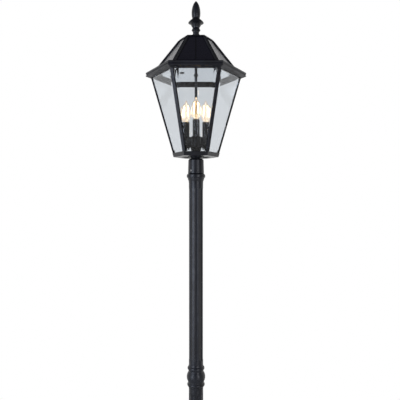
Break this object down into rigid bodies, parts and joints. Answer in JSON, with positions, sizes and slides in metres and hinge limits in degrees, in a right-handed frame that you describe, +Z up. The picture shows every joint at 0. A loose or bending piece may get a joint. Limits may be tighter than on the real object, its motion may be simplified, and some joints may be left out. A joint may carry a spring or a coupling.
{
  "type": "lamp post lantern",
  "caption": "Hexagonal glazed lantern with candle bulbs and solar roof on a slim fluted post with a round bolt-down base.",
  "frame": {"origin": "centre of the base's underside, on the ground", "axes": "+Z up along the post; -Y towards the viewer of the front pane; the lantern has a corner on +X and on -X"},
  "size_m": [0.352, 0.3048, 2.1515],
  "materials": {
    "cast_black": "satin black powder coat on cast aluminium",
    "tube_black": "satin black powder coat on extruded aluminium",
    "frame_black": "satin black powder coat on folded sheet",
    "pane": "clear bevelled glass",
    "solar_cell": "dark laminated solar panel with fine grid lines",
    "reflector": "polished",
    "steel": "zinc plated",
    "rod_black": "black, satin",
    "sleeve": "semi-gloss black candle sleeve",
    "socket": "phenolic",
    "bulb_glass": "clear thin glass",
    "bulb_cap": "nickel-plated brass",
    "contact": "soldered",
    "filament": "glowing warm white",
    "battery": "shrink-wrapped cells",
    "board": "solder mask",
    "switch": "moulded black",
    "lead": "insulated two-core lead"
  },
  "bodies": {
    "post": {"base_casting": "cast_black", "lower_post": "tube_black", "post_coupling": "cast_black", "upper_post": "tube_black", "post_collar": "cast_black"},
    "cage": {"fitter": "cast_black", "fitter_set_screws": "steel", "neck": "cast_black", "centre_rod": "rod_black", "rod_nuts": "rod_black", "bottom_frame": "frame_black", "bottom_pan": "frame_black", "pan_screws": "steel", "corner_posts": "frame_black", "pane_clips": "steel", "top_frame": "frame_black", "cluster_hub": "cast_black", "candle_cups": "cast_black", "cup_nipples": "rod_black", "candle_sleeves": "sleeve", "lamp_sockets": "socket", "lamp_lead": "lead", "glass_pane_1": "pane", "glass_pane_2": "pane", "glass_pane_3": "pane", "glass_pane_4": "pane", "glass_pane_5": "pane", "glass_pane_6": "pane"},
    "roof": {"roof_frame": "cast_black", "top_cap": "cast_black", "reflector_plate": "reflector", "battery_pack": "battery", "board_standoffs": "contact", "control_board": "board", "switch_body": "switch", "solar_panel_1": "solar_cell", "solar_panel_2": "solar_cell", "solar_panel_3": "solar_cell", "solar_panel_4": "solar_cell", "solar_panel_5": "solar_cell", "solar_panel_6": "solar_cell"},
    "button": {"switch_button": "switch"},
    "washer": {"finial_washer": "rod_black"},
    "finial": {"finial": "cast_black"},
    "bulb_1_contact": {"bulb_contact_1": "contact"},
    "bulb_1": {"bulb_cap_1": "bulb_cap", "bulb_glass_1": "bulb_glass", "bulb_filaments_1": "filament"},
    "bulb_2_contact": {"bulb_contact_2": "contact"},
    "bulb_2": {"bulb_cap_2": "bulb_cap", "bulb_glass_2": "bulb_glass", "bulb_filaments_2": "filament"},
    "bulb_3_contact": {"bulb_contact_3": "contact"},
    "bulb_3": {"bulb_cap_3": "bulb_cap", "bulb_glass_3": "bulb_glass", "bulb_filaments_3": "filament"}
  },
  "joints": [
    {"name": "lantern_turn", "type": "hinge", "parent": "post", "child": "cage", "pos_m": [0, 0, 1.56], "axis": [0, 0, 1], "continuous": true},
    {"name": "roof_lift", "type": "slide", "parent": "cage", "child": "roof", "axis": [0, 0, 1], "range_m": [0, 0.3]},
    {"name": "switch_press", "type": "slide", "parent": "roof", "child": "button", "axis": [0, 0, 1], "range_m": [0, 0.0014], "stiffness_N_per_m": 600, "springref_m": -0.001},
    {"name": "finial_rise", "type": "slide", "parent": "roof", "child": "washer", "axis": [0, 0, 1], "range_m": [0, 0.01]},
    {"name": "finial_turn", "type": "hinge", "parent": "washer", "child": "finial", "pos_m": [0, 0, 2.05], "axis": [0, 0, 1], "range_deg": [0, 3610]},
    {"name": "bulb_1_rise", "type": "slide", "parent": "cage", "child": "bulb_1_contact", "axis": [0, 0, 1], "range_m": [0, 0.00635]},
    {"name": "bulb_1_turn", "type": "hinge", "parent": "bulb_1_contact", "child": "bulb_1", "pos_m": [0.00084, -0.03999, 1.72], "axis": [0, 0, 1], "range_deg": [0, 905]},
    {"name": "bulb_2_rise", "type": "slide", "parent": "cage", "child": "bulb_2_contact", "axis": [0, 0, 1], "range_m": [0, 0.00635]},
    {"name": "bulb_2_turn", "type": "hinge", "parent": "bulb_2_contact", "child": "bulb_2", "pos_m": [0.03422, 0.02072, 1.72], "axis": [0, 0, 1], "range_deg": [0, 905]},
    {"name": "bulb_3_rise", "type": "slide", "parent": "cage", "child": "bulb_3_contact", "axis": [0, 0, 1], "range_m": [0, 0.00635]},
    {"name": "bulb_3_turn", "type": "hinge", "parent": "bulb_3_contact", "child": "bulb_3", "pos_m": [-0.03505, 0.01927, 1.72], "axis": [0, 0, 1], "range_deg": [0, 905]}
  ],
  "couplings": [
    {"joint": "finial_turn", "follows": "finial_rise", "rad_per_m": 6283.2},
    {"joint": "bulb_1_turn", "follows": "bulb_1_rise", "rad_per_m": 2473.7},
    {"joint": "bulb_2_turn", "follows": "bulb_2_rise", "rad_per_m": 2473.7},
    {"joint": "bulb_3_turn", "follows": "bulb_3_rise", "rad_per_m": 2473.7}
  ]
}
